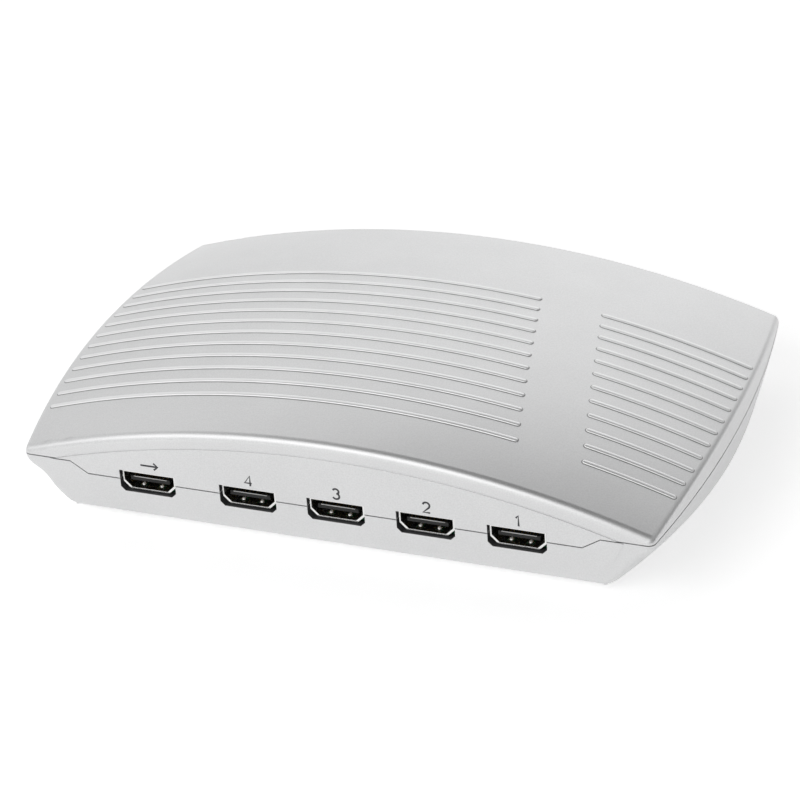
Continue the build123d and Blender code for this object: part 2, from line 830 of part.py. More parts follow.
# Push switch: body with a room for the plunger's collar
with BuildPart() as tact_switch_body:
    with BuildSketch(Plane.XY.offset(board_top_z)):
        with Locations((button_x, switch_leg_y)):
            Rectangle(switch_width, switch_depth)
    extrude(amount=switch_height)
    with BuildSketch(control_plane(button_x, switch_front_y)):
        Circle(plunger_radius + plunger_clearance)
    extrude(amount=-switch_front_wall, mode=Mode.SUBTRACT)
    with BuildSketch(control_plane(button_x, switch_front_y - switch_front_wall)):
        Circle(plunger_collar_radius + plunger_clearance)
    extrude(amount=-switch_room_depth, mode=Mode.SUBTRACT)
save(tact_switch_body.part, "tact_switch_body")

with BuildPart() as tact_switch_plunger:
    with BuildSketch(control_plane(button_x, plunger_face_y)):
        Circle(plunger_radius)
    extrude(amount=-(plunger_stand + switch_front_wall))
    with BuildSketch(control_plane(button_x, switch_front_y - switch_front_wall)):
        Circle(plunger_collar_radius)
    extrude(amount=-plunger_collar_thickness)
save(tact_switch_plunger.part, "tact_switch_plunger")

with BuildPart() as tact_switch_legs:
    with BuildSketch(Plane.XY.offset(board_top_z)):
        with Locations(*switch_leg_places):
            Rectangle(switch_leg_width, switch_leg_sheet)
    extrude(amount=-(board_thickness + leg_below_board))
save(tact_switch_legs.part, "tact_switch_legs")

# Indicator lamps, each with a flat nose that fills its hole in the panel


def lamp(places):
    """Lamps at the given places: flange and flat-nosed body."""
    with BuildPart() as lamps:
        for x in places:
            with BuildSketch(control_plane(x, lamp_flange_y)):
                Circle(lamp_radius)
            extrude(amount=lamp_length)
        for x in places:
            with BuildSketch(control_plane(x, lamp_flange_y)):
                Circle(lamp_flange_radius)
            extrude(amount=-lamp_flange_thickness)
    return lamps.part


save(lamp(lamp_places[:-1]), "channel_leds")
save(lamp(lamp_places[-1:]), "power_led")

# Lamp holders stand on the board and carry the lamps' flanges
holder_front_y = board_front_y
with BuildPart() as led_holders:
    with BuildSketch(Plane.XY.offset(board_top_z)):
        with Locations(*[(x, holder_front_y - holder_depth / 2) for x in lamp_places]):
            Rectangle(holder_width, holder_depth)
    extrude(amount=control_z + holder_above_axis - board_top_z)
    for x in lamp_places:
        with BuildSketch(control_plane(x, holder_front_y)):
            Circle(lamp_flange_radius + holder_clearance)
        extrude(amount=-(holder_front_y - lamp_flange_y + lamp_flange_thickness), mode=Mode.SUBTRACT)
    for x, y in lamp_leg_places:
        slot_width = lamp_leg_size + 2 * holder_clearance
        slot_rear = y - slot_width / 2
        slot_front = lamp_flange_y - lamp_flange_thickness
        with BuildSketch(Plane.XY.offset(board_top_z)):
            with Locations((x, (slot_rear + slot_front) / 2)):
                Rectangle(slot_width, slot_front - slot_rear)
        extrude(amount=control_z + slot_width / 2 - board_top_z, mode=Mode.SUBTRACT)
save(led_holders.part, "led_holders")

with BuildPart() as led_legs:
    leg_half = lamp_leg_size / 2
    leg_end_z = board_z - leg_below_board
    for x, y in lamp_leg_places:
        with BuildSketch(Plane.YZ.offset(x)):
            with BuildLine():
                Polyline(
                    (lamp_flange_y - lamp_flange_thickness, control_z + leg_half),
                    (y - leg_half, control_z + leg_half),
                    (y - leg_half, leg_end_z),
                    (y + leg_half, leg_end_z),
                    (y + leg_half, control_z - leg_half),
                    (lamp_flange_y - lamp_flange_thickness, control_z - leg_half),
                    close=True,
                )
            make_face()
        extrude(amount=leg_half, both=True)
save(led_legs.part, "led_legs")

# Remote control window, let into the panel from inside
with BuildPart() as ir_window:
    with BuildSketch(control_plane(window_x, front_wall_y)):
        RectangleRounded(window_width, window_height, window_corner)
    extrude(amount=front_y - front_wall_y)
    with BuildSketch(control_plane(window_x, front_wall_y)):
        RectangleRounded(window_width + 2 * flange_overhang, window_height + 2 * flange_overhang, window_corner)
    extrude(amount=-flange_thickness)
save(ir_window.part, "ir_window")

# Remote control receiver with a round lens
with BuildPart() as ir_receiver:
    with BuildSketch(Plane.XY.offset(board_top_z + receiver_stand)):
        with Locations((window_x, receiver_leg_y)):
            Rectangle(receiver_width, receiver_depth)
    extrude(amount=receiver_height)
    with BuildSketch(control_plane(window_x, receiver_front_y)):
        Circle(receiver_lens_radius)
    extrude(amount=receiver_lens_rise, taper=receiver_lens_taper)
save(ir_receiver.part, "ir_receiver")

with BuildPart() as ir_receiver_legs:
    with BuildSketch(Plane.XY.offset(board_top_z + receiver_stand)):
        with Locations(*receiver_leg_places):
            Rectangle(receiver_leg_size, receiver_leg_size)
    extrude(amount=-(receiver_stand + board_thickness + leg_below_board))
save(ir_receiver_legs.part, "ir_receiver_legs")

# Power jack at the left end
jack_z = board_top_z + jack_axis_height


def jack_plane(x):
    """The plane across the jack's axis at x. It faces out of the left end."""
    return Plane(origin=(x, 0, jack_z), x_dir=(0, -1, 0), z_dir=(-1, 0, 0))


bore_end_x = -jack_face_x + jack_bore_depth
leaf_z = jack_z - jack_bore_radius + jack_leaf_sheet
with BuildPart() as dc_jack_housing:
    with BuildSketch(Plane.XY.offset(board_top_z)):
        with Locations((-jack_face_x + jack_length / 2, 0)):
            Rectangle(jack_length, jack_width)
    extrude(amount=jack_height)
    with BuildSketch(jack_plane(-jack_face_x)):
        Circle(jack_collar_radius)
    extrude(amount=jack_collar_length)
    with BuildSketch(jack_plane(-jack_face_x - jack_collar_length)):
        Circle(jack_bore_radius)
    extrude(amount=-(jack_collar_length + jack_bore_depth), mode=Mode.SUBTRACT)
    with BuildSketch(jack_plane(bore_end_x)):
        Circle(jack_pin_root_radius + jack_fit)
    extrude(amount=-jack_length, mode=Mode.SUBTRACT)
    with BuildSketch(Plane.XY.offset(leaf_z)):
        with Locations((bore_end_x - (jack_leaf_length + jack_leaf_leg_inset) / 2, 0)):
            Rectangle(jack_leaf_length + jack_leaf_leg_inset, jack_leaf_width + 2 * jack_fit)
    extrude(amount=-2 * jack_leaf_sheet, mode=Mode.SUBTRACT)
    with BuildSketch(Plane.XY.offset(board_top_z)):
        with Locations((leaf_leg_x, 0)):
            Rectangle(jack_leaf_sheet + 2 * jack_fit, jack_leaf_width + 2 * jack_fit)
    extrude(amount=leaf_z - board_top_z, mode=Mode.SUBTRACT)
save(dc_jack_housing.part, "dc_jack_housing")

with BuildPart() as dc_jack_pin:
    with BuildSketch(jack_plane(bore_end_x)):
        Circle(jack_pin_radius)
    extrude(amount=jack_pin_length)
    chamfer(faces().sort_by(Axis.X)[0].edges(), jack_pin_nose)
    with BuildSketch(jack_plane(jack_rear_x)):
        Circle(jack_pin_root_radius)
    extrude(amount=jack_length - jack_bore_depth)
    with BuildSketch(Plane.YZ.offset(jack_rear_x)):
        leg_end_z = board_z - leg_below_board
        with Locations((0, (jack_z + jack_terminal_width / 2 + leg_end_z) / 2)):
            Rectangle(jack_terminal_width, jack_z + jack_terminal_width / 2 - leg_end_z)
    extrude(amount=jack_terminal_sheet)
save(dc_jack_pin.part, "dc_jack_pin")

with BuildPart() as dc_jack_spring:
    with BuildSketch(Plane.XZ):
        with BuildLine():
            leaf_start_x = leaf_leg_x - jack_leaf_length
            leg_half = jack_leaf_sheet / 2
            Polyline(
                (leaf_start_x, leaf_z),
                (leaf_leg_x + leg_half, leaf_z),
                (leaf_leg_x + leg_half, leg_end_z),
                (leaf_leg_x - leg_half, leg_end_z),
                (leaf_leg_x - leg_half, leaf_z - jack_leaf_sheet),
                (leaf_start_x, leaf_z - jack_leaf_sheet),
                close=True,
            )
        make_face()
    extrude(amount=jack_leaf_width / 2, both=True)
save(dc_jack_spring.part, "dc_jack_spring")


def chip_bodies(places, length, width, thickness):
    """Moulded chip bodies that stand just clear of the board."""
    with BuildPart() as bodies:
        with BuildSketch(Plane.XY.offset(board_top_z + chip_stand)):
            with Locations(*places):
                Rectangle(length, width)
        extrude(amount=thickness)
    return bodies.part


def chip_pins(places, width, count, pitch, pin_width):
    """Two rows of flat pins, along the front and the rear of each chip body."""
    with BuildPart() as pins:
        with BuildSketch(Plane.XY.offset(board_top_z)):
            with Locations(*places):
                with GridLocations(pitch, width + pin_reach, count, 2):
                    Rectangle(pin_width, pin_reach)
        extrude(amount=pin_sheet)
    return pins.part


# Switch chip, with pins on all four sides
chip_place = [(chip_x, chip_y)]
save(chip_bodies(chip_place, chip_size, chip_size, chip_thickness), "switch_chip")
with BuildPart() as switch_chip_pins:
    add(chip_pins(chip_place, chip_size, chip_pins_per_side, chip_pin_pitch, chip_pin_width))
    with BuildSketch(Plane.XY.offset(board_top_z)):
        with Locations((chip_x, chip_y)):
            with GridLocations(chip_size + pin_reach, chip_pin_pitch, 2, chip_pins_per_side):
                Rectangle(pin_reach, chip_pin_width)
    extrude(amount=pin_sheet)
save(switch_chip_pins.part, "switch_chip_pins")

# Control chip
control_place = [(control_x, control_y)]
save(chip_bodies(control_place, control_length, control_width, control_thickness), "control_chip")
control_pins = chip_pins(control_place, control_width, control_pins_per_side, control_pin_pitch, small_pin_width)
save(control_pins, "control_chip_pins")

# One small memory chip for each input
memory_places = [(socket_places[name] - input_pitch / 2, memory_y) for name in input_names]
save(chip_bodies(memory_places, memory_length, memory_width, memory_thickness), "memory_chips")
memory_pins = chip_pins(memory_places, memory_width, memory_pins_per_side, control_pin_pitch, small_pin_width)
save(memory_pins, "memory_chip_pins")

# Voltage regulator, with three pins in front and a wide tab behind
regulator_place = [(regulator_x, regulator_y)]
save(chip_bodies(regulator_place, regulator_length, regulator_width, regulator_thickness), "voltage_regulator")
with BuildPart() as voltage_regulator_pins:
    with BuildSketch(Plane.XY.offset(board_top_z)):
        row_y = (regulator_width + pin_reach) / 2
        with Locations((regulator_x, regulator_y + row_y)):
            with GridLocations(regulator_pin_pitch, pin_reach, regulator_pin_count, 1):
                Rectangle(regulator_pin_width, pin_reach)
        with Locations((regulator_x, regulator_y - row_y)):
            Rectangle(regulator_tab_width, pin_reach)
    extrude(amount=pin_sheet)
save(voltage_regulator_pins.part, "voltage_regulator_pins")

# Crystal: a can with a brim
with BuildPart() as crystal:
    with BuildSketch(Plane.XY.offset(board_top_z)):
        with Locations((chip_x, control_y)):
            SlotOverall(crystal_length, crystal_width)
    extrude(amount=crystal_brim)
    with BuildSketch(Plane.XY.offset(board_top_z)):
        with Locations((chip_x, control_y)):
            SlotOverall(crystal_length - 2 * crystal_brim, crystal_width - 2 * crystal_brim)
    extrude(amount=crystal_height)
save(crystal.part, "crystal")

# Electrolytic capacitors
with BuildPart() as electrolytic_capacitors:
    with BuildSketch(Plane.XY.offset(board_top_z)):
        with Locations((capacitor_x, regulator_y), (capacitor_x, regulator_y + capacitor_pitch)):
            Circle(capacitor_radius)
    extrude(amount=capacitor_height)
save(electrolytic_capacitors.part, "electrolytic_capacitors")


def row_of_chips(y, length, width, height, pitch, count):
    """A row of small two-ended parts on the board, centred on x = 0."""
    with BuildPart() as row:
        with BuildSketch(Plane.XY.offset(board_top_z)):
            with Locations((0, y)):
                with GridLocations(pitch, width, count, 1):
                    Rectangle(length, width)
        extrude(amount=height)
    return row.part


# Small ceramic capacitors and resistors
ceramics = row_of_chips(ceramic_y, ceramic_length, ceramic_width, ceramic_height, ceramic_pitch, ceramic_count)
save(ceramics, "ceramic_capacitors")
resistors = row_of_chips(
    resistor_y, resistor_length, resistor_width, resistor_height, resistor_pitch, resistor_count
)
save(resistors, "resistors")
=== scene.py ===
import json
import math
import bmesh
import bpy
import numpy as np
from mathutils import Matrix, Vector


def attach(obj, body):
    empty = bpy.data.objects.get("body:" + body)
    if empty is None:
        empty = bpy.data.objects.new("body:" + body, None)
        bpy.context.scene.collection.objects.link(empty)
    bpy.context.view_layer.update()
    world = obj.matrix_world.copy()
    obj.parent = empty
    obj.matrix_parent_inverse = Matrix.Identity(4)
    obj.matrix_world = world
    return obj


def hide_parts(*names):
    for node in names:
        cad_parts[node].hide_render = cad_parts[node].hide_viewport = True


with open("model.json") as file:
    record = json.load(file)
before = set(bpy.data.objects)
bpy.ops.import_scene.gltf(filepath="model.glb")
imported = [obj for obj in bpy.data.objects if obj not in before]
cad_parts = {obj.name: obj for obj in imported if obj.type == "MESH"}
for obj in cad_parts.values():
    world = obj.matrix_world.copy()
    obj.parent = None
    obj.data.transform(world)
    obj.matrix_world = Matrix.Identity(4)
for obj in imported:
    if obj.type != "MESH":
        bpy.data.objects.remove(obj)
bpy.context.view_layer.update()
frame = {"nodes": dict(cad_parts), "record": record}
nodes = frame["nodes"]

# The object's sizes are in millimetres, and MM brings them to metres
MM = 0.001

# The case, as in the part's source
half_depth = 58.1
panel_proud = 0.3
arch_axis_z = -237.0804
crown_centre_z = -259.6563
crown_radius = 296.4063
end_half = 90.3
end_bow = 4.8

# The round along the top's two long rims
rim_radius = 2.5
rim_y = half_depth - rim_radius
rim_centre = crown_centre_z - arch_axis_z + math.sqrt((crown_radius - rim_radius) ** 2 - rim_y**2)
rim_start_y = rim_y * crown_radius / (crown_radius - rim_radius)
rim_lowest = -0.01
surface_tolerance = 0.02


def surface_radius(y):
    """Distance of the top's surface from the arch's axis, at a depth."""
    return crown_centre_z + math.sqrt(crown_radius**2 - y**2) - arch_axis_z


def height_above_top(x, y, z):
    """How far a point lies above the top's surface."""
    return math.hypot(x, z - arch_axis_z) - surface_radius(y)


def barrel_normal(x, y, z):
    """The direction that the top or its rim faces at a point, or None for a point beside them."""
    out = math.hypot(x, z - arch_axis_z)
    if abs(y) <= rim_start_y:
        across, up, size = y, out - (crown_centre_z - arch_axis_z), crown_radius
    else:
        across, up, size = math.copysign(abs(y) - rim_y, y), out - rim_centre, rim_radius
    if up < rim_lowest or abs(math.hypot(across, up) - size) > surface_tolerance:
        return None
    up = up / size
    return Vector((up * x / out, across / size, up * (z - arch_axis_z) / out)).normalized()


def add(name, data):
    """A new object in the scene."""
    item = bpy.data.objects.new(name, data)
    bpy.context.collection.objects.link(item)
    return item


def add_smooth(name, form, finish):
    """A smooth piece on the case, from a bmesh, which this frees."""
    for face in form.faces:
        face.smooth = True
    mesh = bpy.data.meshes.new(name)
    form.to_mesh(mesh)
    form.free()
    mesh.materials.append(finish)
    piece = add(name, mesh)
    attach(piece, "case")


# Nodes that materials and the world share

def noise(tree, place, scale, detail):
    """A noise over a coordinate, from 0 to 1."""
    node = tree.nodes.new("ShaderNodeTexNoise")
    node.inputs["Scale"].default_value = scale
    node.inputs["Detail"].default_value = detail
    tree.links.new(place, node.inputs["Vector"])
    return node.outputs["Fac"]


def map_range(tree, value, low, high, start=0.0, end=1.0, interpolation="LINEAR"):
    """Brings a value from start and end to low and high."""
    node = tree.nodes.new("ShaderNodeMapRange")
    node.interpolation_type = interpolation
    node.inputs["From Min"].default_value = start
    node.inputs["From Max"].default_value = end
    node.inputs["To Min"].default_value = low
    node.inputs["To Max"].default_value = high
    tree.links.new(value, node.inputs["Value"])
    return node.outputs["Result"]


def color_ramp(tree, factor, stops, interpolation="LINEAR"):
    """A ramp with a stop for each pair of a position and a colour."""
    node = tree.nodes.new("ShaderNodeValToRGB")
    ramp = node.color_ramp
    ramp.interpolation = interpolation
    while len(ramp.elements) < len(stops):
        ramp.elements.new(position=0.5)
    for element, (position, color) in zip(ramp.elements, stops):
        element.position = position
        element.color = (*color, 1.0)
    tree.links.new(factor, node.inputs["Fac"])
    return node.outputs["Color"]


def combine(tree, operation, first, second):
    """A Math node over two outputs."""
    node = tree.nodes.new("ShaderNodeMath")
    node.operation = operation
    tree.links.new(first, node.inputs[0])
    tree.links.new(second, node.inputs[1])
    return node.outputs[0]


# Materials: each is a small node tree on a Principled shader
patch_scale, patch_detail = 60.0, 3.0
fine_detail = 2.0
dark_stop, light_stop = 0.35, 0.65
lowest_roughness = 0.02
plastic_ior = 1.45
pit_scale, pit_depth = 2500.0, 0.00002


def material(name, color, roughness, metallic=0.0, grain=0.0, grain_scale=900.0, mottle=0.03,
             bump=0.0, coat=0.0, speckle=0.0, painted_groove_shade=0.0):
    """A moulded, plated or printed finish.

    The colour varies by mottle, over coarse patches or, as far as speckle says, over fine ones.
    The roughness varies by grain, and bump is the strength of fine pits. crease is how much darker
    the colour gets, as painted shade, where the mesh's attribute of that name is 1.
    """
    mat = bpy.data.materials.new(name)
    mat.use_nodes = True
    tree = mat.node_tree
    shader = tree.nodes["Principled BSDF"]
    shader.inputs["Metallic"].default_value = metallic
    shader.inputs["Coat Weight"].default_value = coat
    shader.inputs["IOR"].default_value = plastic_ior
    shader.inputs["Roughness"].default_value = roughness

    place = tree.nodes.new("ShaderNodeTexCoord").outputs["Object"]
    patches = noise(tree, place, patch_scale, patch_detail)
    fine = noise(tree, place, grain_scale, fine_detail)
    blend = tree.nodes.new("ShaderNodeMix")
    blend.inputs["Factor"].default_value = speckle
    tree.links.new(patches, blend.inputs["A"])
    tree.links.new(fine, blend.inputs["B"])
    dark = [c * (1.0 - mottle) for c in color]
    light = [min(1.0, c * (1.0 + mottle)) for c in color]
    shade = color_ramp(tree, blend.outputs["Result"], ((dark_stop, dark), (light_stop, light)))
    # Painted shade: the colour darkens by crease where the mesh's attribute says so
    if painted_groove_shade:
        foot = tree.nodes.new("ShaderNodeAttribute")
        foot.attribute_name = "painted_groove_shade"
        darker = tree.nodes.new("ShaderNodeMix")
        darker.data_type = "RGBA"
        darker.inputs["B"].default_value = (*[c * (1.0 - painted_groove_shade) for c in color], 1.0)
        tree.links.new(foot.outputs["Fac"], darker.inputs["Factor"])
        tree.links.new(shade, darker.inputs["A"])
        shade = darker.outputs["Result"]
    tree.links.new(shade, shader.inputs["Base Color"])

    if grain:
        smoothest = max(lowest_roughness, roughness - grain)
        roughest = min(1.0, roughness + grain)
        tree.links.new(map_range(tree, fine, smoothest, roughest), shader.inputs["Roughness"])
    if bump:
        raised = tree.nodes.new("ShaderNodeBump")
        raised.inputs["Strength"].default_value = bump
        raised.inputs["Distance"].default_value = pit_depth
        tree.links.new(noise(tree, place, pit_scale, fine_detail), raised.inputs["Height"])
        tree.links.new(raised.outputs["Normal"], shader.inputs["Normal"])
    return mat


silver = (0.725, 0.727, 0.73)
case_grain = {"metallic": 0.7, "grain": 0.06, "grain_scale": 2600.0, "bump": 0.2, "speckle": 0.75}
finishes = {
    "upper_case": material("case_silver", silver, 0.34, mottle=0.05, **case_grain),
    "lower_case": material("case_silver_lower", silver, 0.36, mottle=0.04, **case_grain),
    "foot_rubber": material(
        "foot_rubber", (0.03, 0.03, 0.03), 0.75, grain=0.1, mottle=0.1, bump=0.4),
    "screw_steel": material(
        "screw_zinc", (0.60, 0.60, 0.61), 0.35, metallic=1.0, grain=0.1, mottle=0.06),
    "board": material("solder_mask", (0.02, 0.14, 0.06), 0.35, grain=0.08, mottle=0.15, bump=0.2),
    "socket_steel": material(
        "nickel_plate", (0.80, 0.80, 0.79), 0.22, metallic=1.0, grain=0.06, mottle=0.03),
    "socket_black": material("insulator_black", (0.006, 0.006, 0.006), 0.5, grain=0.1, mottle=0.1),
    "contact_gold": material(
        "gold_plate", (0.83, 0.60, 0.24), 0.25, metallic=1.0, grain=0.08, mottle=0.04),
    "button": material(
        "button_grey", (0.16, 0.165, 0.17), 0.45, grain=0.06, mottle=0.04, bump=0.15),
    "switch_body": material("switch_black", (0.02, 0.02, 0.02), 0.5, grain=0.08, mottle=0.1),
    "switch_plunger": material("plunger_ivory", (0.55, 0.52, 0.46), 0.45, grain=0.05, mottle=0.04),
    "tinned_metal": material(
        "tinned", (0.72, 0.72, 0.70), 0.32, metallic=1.0, grain=0.1, mottle=0.06),
    "blue_lens": material(
        "lens_blue", (0.10, 0.22, 0.62), 0.18, grain=0.04, mottle=0.05, coat=0.3),
    "red_lens": material(
        "lens_red", (0.60, 0.05, 0.04), 0.18, grain=0.04, mottle=0.05, coat=0.3),
    "holder_black": material("holder_black", (0.02, 0.02, 0.02), 0.55, grain=0.08, mottle=0.1),
    "ir_window": material(
        "filter_red", (0.035, 0.008, 0.012), 0.12, grain=0.03, mottle=0.05, coat=0.4),
    "chip_black": material(
        "epoxy_black", (0.025, 0.025, 0.028), 0.6, grain=0.08, mottle=0.12, bump=0.3),
    "jack_black": material("jack_black", (0.02, 0.02, 0.02), 0.5, grain=0.08, mottle=0.1),
    "can_metal": material(
        "drawn_can", (0.75, 0.75, 0.76), 0.28, metallic=1.0, grain=0.08, mottle=0.05),
    "ceramic_brown": material("ceramic_brown", (0.40, 0.27, 0.16), 0.5, grain=0.08, mottle=0.1),
}
# The beads' silver is lighter than the case's as a painted highlight, and darker at their feet as
# painted shade
bead_silver_painted_light = material(
    "bead_silver_painted_light", (0.88, 0.882, 0.885), 0.32, metallic=0.7, mottle=0.02, painted_groove_shade=0.72)
# Dark finish for the walls of the sockets' mouths: painted shade, where those walls lie in shadow
mouth_wall_painted_shade = material(
    "mouth_wall_painted_shade", (0.05, 0.05, 0.052), 0.5, grain=0.08, mottle=0.08, bump=0.2)
# Pale grey for the strip on each tongue's front edge: a painted highlight
tongue_painted_highlight = material("painted_tongue_highlight", (0.62, 0.62, 0.61), 0.4, grain=0.05, mottle=0.05)
# Near white for the spring tips: a painted highlight on them
spring_painted_highlight = material(
    "spring_painted_highlight", (0.93, 0.93, 0.92), 0.4, metallic=0.5, grain=0.06, mottle=0.03)
ink = material("ink_grey", (0.045, 0.045, 0.05), 0.5, grain=0.06, mottle=0.08)

slot_of = {entry["node"]: entry["material_slot"] for entry in frame["record"]["subparts"]}
for name, node in nodes.items():
    node.data.materials.clear()
    node.data.materials.append(finishes[slot_of[name]])


# Mouldings: each shell's form with its facets joined, so that light runs smoothly over its rounds.
# The upper one is without the solid's plainer beads. The panels lie a hair back, which leaves
# room for the print on them.
print_room = 0.02
bead_clearance = 0.02
beads_lowest_z = 17
weld_distance = 0.002
sliver_size = 0.001
shell_sharp_angle = math.radians(40)
evening_weight = 60
least_agreement = 0.6

# The boxes around the five mouths that hold their walls
mouth_places = (-50.35, -22.24, 1.95, 26.15, 50.35)
mouth_z = 11.95
mouth_reach = 8.3
mouth_half_height = 3.2
mouth_wall_depth = 2.0
mouth_wall_tilt = 0.5

# The round of the lower edge, where the solid has a small bevel
base_z = 1.5
base_radius = 1.95
base_bevel = 0.5
base_turns = 7
outer_x, outer_y = 71.0, 57.0
least_outward = 0.1


def in_mouth(face):
    """Whether a face is part of the wall around a socket, behind the panel."""
    x, y, z = face.calc_center_median() / MM
    aside = min(abs(x - place) for place in mouth_places)
    near = aside < mouth_reach and abs(z - mouth_z) < mouth_half_height
    return near and y < mouth_wall_depth - half_depth and abs(face.normal.y) < mouth_wall_tilt


def delete_beads(form):
    """Takes the beads' faces off the top, and welds the rest."""
    beads = []
    for face in form.faces:
        high = max(height_above_top(*(c / MM for c in vert.co)) for vert in face.verts)
        if high > bead_clearance and face.calc_center_median().z > beads_lowest_z * MM:
            beads.append(face)
    bmesh.ops.delete(form, geom=beads, context="FACES")
    bmesh.ops.remove_doubles(form, verts=form.verts, dist=weld_distance * MM)
    bmesh.ops.dissolve_degenerate(form, dist=sliver_size * MM, edges=form.edges)


def round_base(form):
    """Rounds the lower edge all the way round."""
    for turn in np.linspace(0, math.pi / 2, base_turns + 1)[1:]:
        height = (base_z + base_radius * (1 - math.cos(turn))) * MM
        parts = form.verts[:] + form.edges[:] + form.faces[:]
        bmesh.ops.bisect_plane(
            form, geom=parts, dist=sliver_size * MM, plane_co=(0, 0, height), plane_no=(0, 0, 1))
    form.normal_update()
    moves = []
    for vert in form.verts:
        x, y, z = vert.co / MM
        rise = z - base_z
        outward = Vector((vert.normal.x, vert.normal.y))
        faces_out = outward.length >= least_outward and outward.dot(Vector((x, y))) >= 0
        beside = abs(x) > outer_x or abs(y) > outer_y
        if rise > base_radius or not beside or not faces_out:
            continue
        inset = base_radius - math.sqrt(max(0.0, base_radius**2 - (base_radius - rise) ** 2))
        inset -= max(0.0, base_bevel - rise)
        moves.append((vert, outward.normalized() * inset * MM))
    for vert, step in moves:
        vert.co.x -= step.x
        vert.co.y -= step.y


def even_normals(piece):
    """Gives the top and its rims their true normals, and weighs the others by their faces."""
    mesh = piece.data
    even = piece.modifiers.new("even_light", "WEIGHTED_NORMAL")
    even.keep_sharp = True
    even.weight = evening_weight
    bpy.context.view_layer.update()
    shaded = piece.evaluated_get(bpy.context.evaluated_depsgraph_get()).data
    normals = [Vector(corner.vector) for corner in shaded.corner_normals]
    for face in mesh.polygons:
        for corner in face.loop_indices:
            vert = mesh.vertices[mesh.loops[corner].vertex_index]
            true = barrel_normal(*(vert.co / MM))
            if true is not None and true.dot(face.normal) > least_agreement:
                normals[corner] = true
    piece.modifiers.clear()
    mesh.normals_split_custom_set(normals)


def add_moulding(node, name):
    """A piece that stands for a shell."""
    mesh = nodes[node].data.copy()
    mesh.name = name
    form = bmesh.new()
    form.from_mesh(mesh)
    delete_beads(form)
    if node == "lower_shell":
        round_base(form)
    panel_y = (half_depth + panel_proud - print_room) * MM
    for vert in form.verts:
        vert.co.y = max(-panel_y, min(panel_y, vert.co.y))
    for face in form.faces:
        face.smooth = True
        # Faces of the walls around the sockets' mouths get the dark painted-shade finish
        face.material_index = int(in_mouth(face))
    for edge in form.edges:
        edge.smooth = len(edge.link_faces) == 2 and edge.calc_face_angle(0.0) < shell_sharp_angle
    form.to_mesh(mesh)
    form.free()
    mesh.materials.append(mouth_wall_painted_shade)
    piece = add(name, mesh)
    even_normals(piece)
    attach(piece, "case")
    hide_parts(node)


add_moulding("upper_shell", "upper_moulding")
add_moulding("lower_shell", "lower_moulding")

# Raised beads across the top, round in section and at both ends, each in a fine groove. They lie
# in a long and a short group, one mesh each, with a slanted band between them.
bead_count = 12
first_y, pitch_y = 21.3, 5.711
band_left, band_width, band_slant = 30.8, 16.707, 0.237
left_inset, right_inset = 2.6, 1.4
bead_runs = {"long": 56, "short": 24}
end_turns = np.linspace(-math.pi / 2, math.pi / 2, 13)[1:-1]
bead_sharp_angle = math.radians(32)
# Distance from a bead's middle line and height above the top, from the groove's edge to the crest
bead_section = (
    (0.90, -0.10), (0.90, 0.012), (0.66, 0.014), (0.655, 0.10), (0.63, 0.18), (0.58, 0.25),
    (0.50, 0.305), (0.38, 0.345), (0.20, 0.370), (0.01, 0.376),
)
bead_foot = bead_section[2][0]
# How dark the first points of the section are, in the groove
groove_shade = (0.6, 0.8, 1.0)


def bead_loop(straight, off):
    """Points round a bead at a distance from its middle line, as distances along and across."""
    left, right = straight[0], straight[-1]
    loop = [(place, -off) for place in straight]
    loop += [(right + off * math.cos(turn), off * math.sin(turn)) for turn in end_turns]
    loop += [(place, off) for place in straight[::-1]]
    loop += [(left - off * math.cos(turn), -off * math.sin(turn)) for turn in end_turns]
    return loop


def make_bead(form, painted_groove_shade, y, start_x, end_x, runs):
    """One bead over the arch, closed above and below."""
    radius = surface_radius(y)
    start, end = math.asin(start_x / radius), math.asin(end_x / radius)
    straight = np.linspace(bead_foot, (end - start) * radius - bead_foot, runs)
    loops = []
    for number, (off, up) in enumerate(bead_section):
        verts = []
        for along, across in bead_loop(straight, off):
            angle = start + along / radius
            out = surface_radius(y + across) + up
            place = (out * math.sin(angle), y + across, arch_axis_z + out * math.cos(angle))
            vert = form.verts.new([size * MM for size in place])
            # Painted shade along the groove and up the bead's lower flank, strongest at its foot
            vert[painted_groove_shade] = groove_shade[number] if number < len(groove_shade) else 0.0
            verts.append(vert)
        loops.append(verts)
    for low, high in zip(loops, loops[1:]):
        for i in range(len(low)):
            j = (i + 1) % len(low)
            form.faces.new((low[i], low[j], high[j], high[i]))
    turns = len(end_turns)
    for loop, turned in ((loops[-1], False), (loops[0], True)):
        near, far = loop[:runs], loop[runs + turns:2 * runs + turns][::-1]
        closing = [(near[i], near[i + 1], far[i + 1], far[i]) for i in range(runs - 1)]
        closing += [loop[runs - 1:runs + turns + 1], loop[2 * runs + turns - 1:] + loop[:1]]
        for face in closing:
            form.faces.new(face[::-1] if turned else face)


for group, runs in bead_runs.items():
    form = bmesh.new()
    painted_groove_shade = form.verts.layers.float.new("painted_groove_shade")
    for row in range(bead_count):
        y = first_y - row * pitch_y
        edge_x = end_half - end_bow * (y / half_depth) ** 2
        band_x = band_left + band_slant * row * pitch_y
        if group == "long":
            make_bead(form, painted_groove_shade, y, left_inset - edge_x, band_x, runs)
        else:
            make_bead(form, painted_groove_shade, y, band_x + band_width, edge_x - right_inset, runs)
    bmesh.ops.recalc_face_normals(form, faces=form.faces)
    for edge in form.edges:
        edge.smooth = edge.calc_face_angle(0.0) < bead_sharp_angle
    add_smooth(f"beads_{group}", form, bead_silver_painted_light)

# Plain numbers above the inputs and a plain arrow above the output, printed on the panel
print_foot_z = 15.95
print_depth = 0.04
stroke_half_width = 0.27
stroke_roundness = 2


def bow(middle, reach, start, end, count):
    """Points of an elliptical bow, by the angle from its highest point to the right."""
    return [
        (middle[0] + reach[0] * math.sin(turn), middle[1] + reach[1] * math.cos(turn))
        for turn in np.linspace(start, end, count)
    ]


